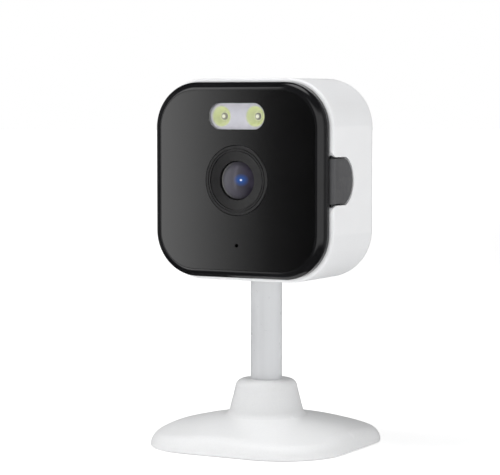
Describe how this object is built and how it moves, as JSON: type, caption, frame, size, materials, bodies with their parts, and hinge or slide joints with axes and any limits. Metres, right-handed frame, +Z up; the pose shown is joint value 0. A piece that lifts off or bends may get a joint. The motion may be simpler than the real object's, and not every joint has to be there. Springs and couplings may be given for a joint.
{
  "type": "indoor security camera on a pedestal",
  "caption": "Rounded-square camera head with a black glossy front, pill-shaped spotlight and central lens, on a slim ball-jointed post and a domed square foot.",
  "frame": {"origin": "on the ground at the middle of the foot, on the post's axis", "axes": "+Z up along the post, the lens looks along -Y, and the side cover is on +X"},
  "size_m": [0.0548, 0.0548, 0.0977],
  "materials": {
    "white_plastic": "fine satin moulded ABS",
    "white_foot": "satin moulded ABS",
    "white_post": "satin white paint on steel tube",
    "black_gloss": "glossy black moulded polycarbonate",
    "smoked_panel": "satin smoked polycarbonate, infrared clear",
    "charcoal_soft": "soft-touch charcoal elastomer",
    "black_trim": "semi-gloss black with fine grooves",
    "lens_glass": "coated optical glass",
    "clear_window": "clear polycarbonate",
    "reflector": "pale moulded reflector",
    "led_phosphor": "yellow phosphor under clear resin",
    "led_clear": "clear dark epoxy",
    "black_matte": "fine matte black plastic",
    "circuit_board": "green solder mask on glass fibre",
    "tin_can": "tinned steel",
    "steel": "zinc-plated steel",
    "polished_steel": "polished steel",
    "aluminium": "bare sheet aluminium",
    "grey_pad": "soft silicone",
    "black_rubber": "black rubber",
    "amber_film": "polyimide film",
    "nylon": "natural acetal",
    "filter_glass": "blue-green filter glass",
    "foam": "black foam",
    "cast_ballast": "raw cast iron"
  },
  "bodies": {
    "stand": {"foot_shell": "white_foot", "base_plate": "white_foot", "rubber_pad": "black_rubber", "base_screws": "steel", "ballast": "cast_ballast", "hub_bush": "nylon", "wave_washer": "steel"},
    "post": {"post_tube": "white_post", "post_screw": "steel", "thrust_washer": "steel", "ball_stud": "polished_steel"},
    "friction_ring": {"ball_liner": "nylon"},
    "head": {"ball_socket": "nylon", "card_socket": "tin_can", "cover_pin": "polished_steel", "filter_coil": "tin_can", "filter_housing": "black_matte", "front_body": "black_gloss", "front_lens": "lens_glass", "front_panel": "smoked_panel", "heat_spreader": "aluminium", "holder_screws": "steel", "housing_screws": "steel", "housing_seal": "black_rubber", "image_sensor": "black_matte", "infrared_board": "circuit_board", "infrared_leds": "led_clear", "lens_barrel": "black_matte", "lens_holder": "black_matte", "lens_spacer": "black_matte", "lens_trim_ring": "black_trim", "light_reflector": "reflector", "light_sensor": "led_clear", "light_window": "clear_window", "main_board": "circuit_board", "microphone": "tin_can", "microphone_boot": "black_rubber", "middle_lens": "lens_glass", "processor": "black_matte", "radio_antenna": "amber_film", "radio_shield": "tin_can", "rear_lens": "lens_glass", "rear_shell": "white_plastic", "reset_switch": "black_matte", "screw_caps": "white_plastic", "socket_screws": "steel", "speaker": "black_matte", "speaker_gasket": "foam", "spot_board": "circuit_board", "spot_leds": "led_phosphor", "status_light": "led_clear", "thermal_pad": "grey_pad", "usb_board": "circuit_board", "usb_socket": "tin_can"},
    "cover": {"side_cover": "charcoal_soft"},
    "reset": {"reset_button": "black_matte"},
    "ir_filter": {"night_filter": "filter_glass"}
  },
  "joints": [
    {"name": "post_swivel", "type": "hinge", "parent": "stand", "child": "post", "pos_m": [0, 0, 0.0085], "axis": [0, 0, 1], "continuous": true},
    {"name": "head_tilt", "type": "hinge", "parent": "post", "child": "friction_ring", "pos_m": [0, 0, 0.052], "axis": [1, 0, 0], "range_deg": [-20, 20]},
    {"name": "head_lean", "type": "hinge", "parent": "friction_ring", "child": "head", "pos_m": [0, 0, 0.052], "axis": [0, 1, 0], "range_deg": [-12, 12]},
    {"name": "side_cover_hinge", "type": "hinge", "parent": "head", "child": "cover", "pos_m": [0.025, -0.0113, 0.0711], "axis": [0, 0, -1], "range_deg": [0, 105]},
    {"name": "reset_press", "type": "slide", "parent": "head", "child": "reset", "axis": [-1, 0, 0], "range_m": [0, 0.0006], "stiffness_N_per_m": 800, "springref_m": -0.0003},
    {"name": "ir_cut_shift", "type": "slide", "parent": "head", "child": "ir_filter", "axis": [-1, 0, 0], "range_m": [0, 0.008]}
  ]
}
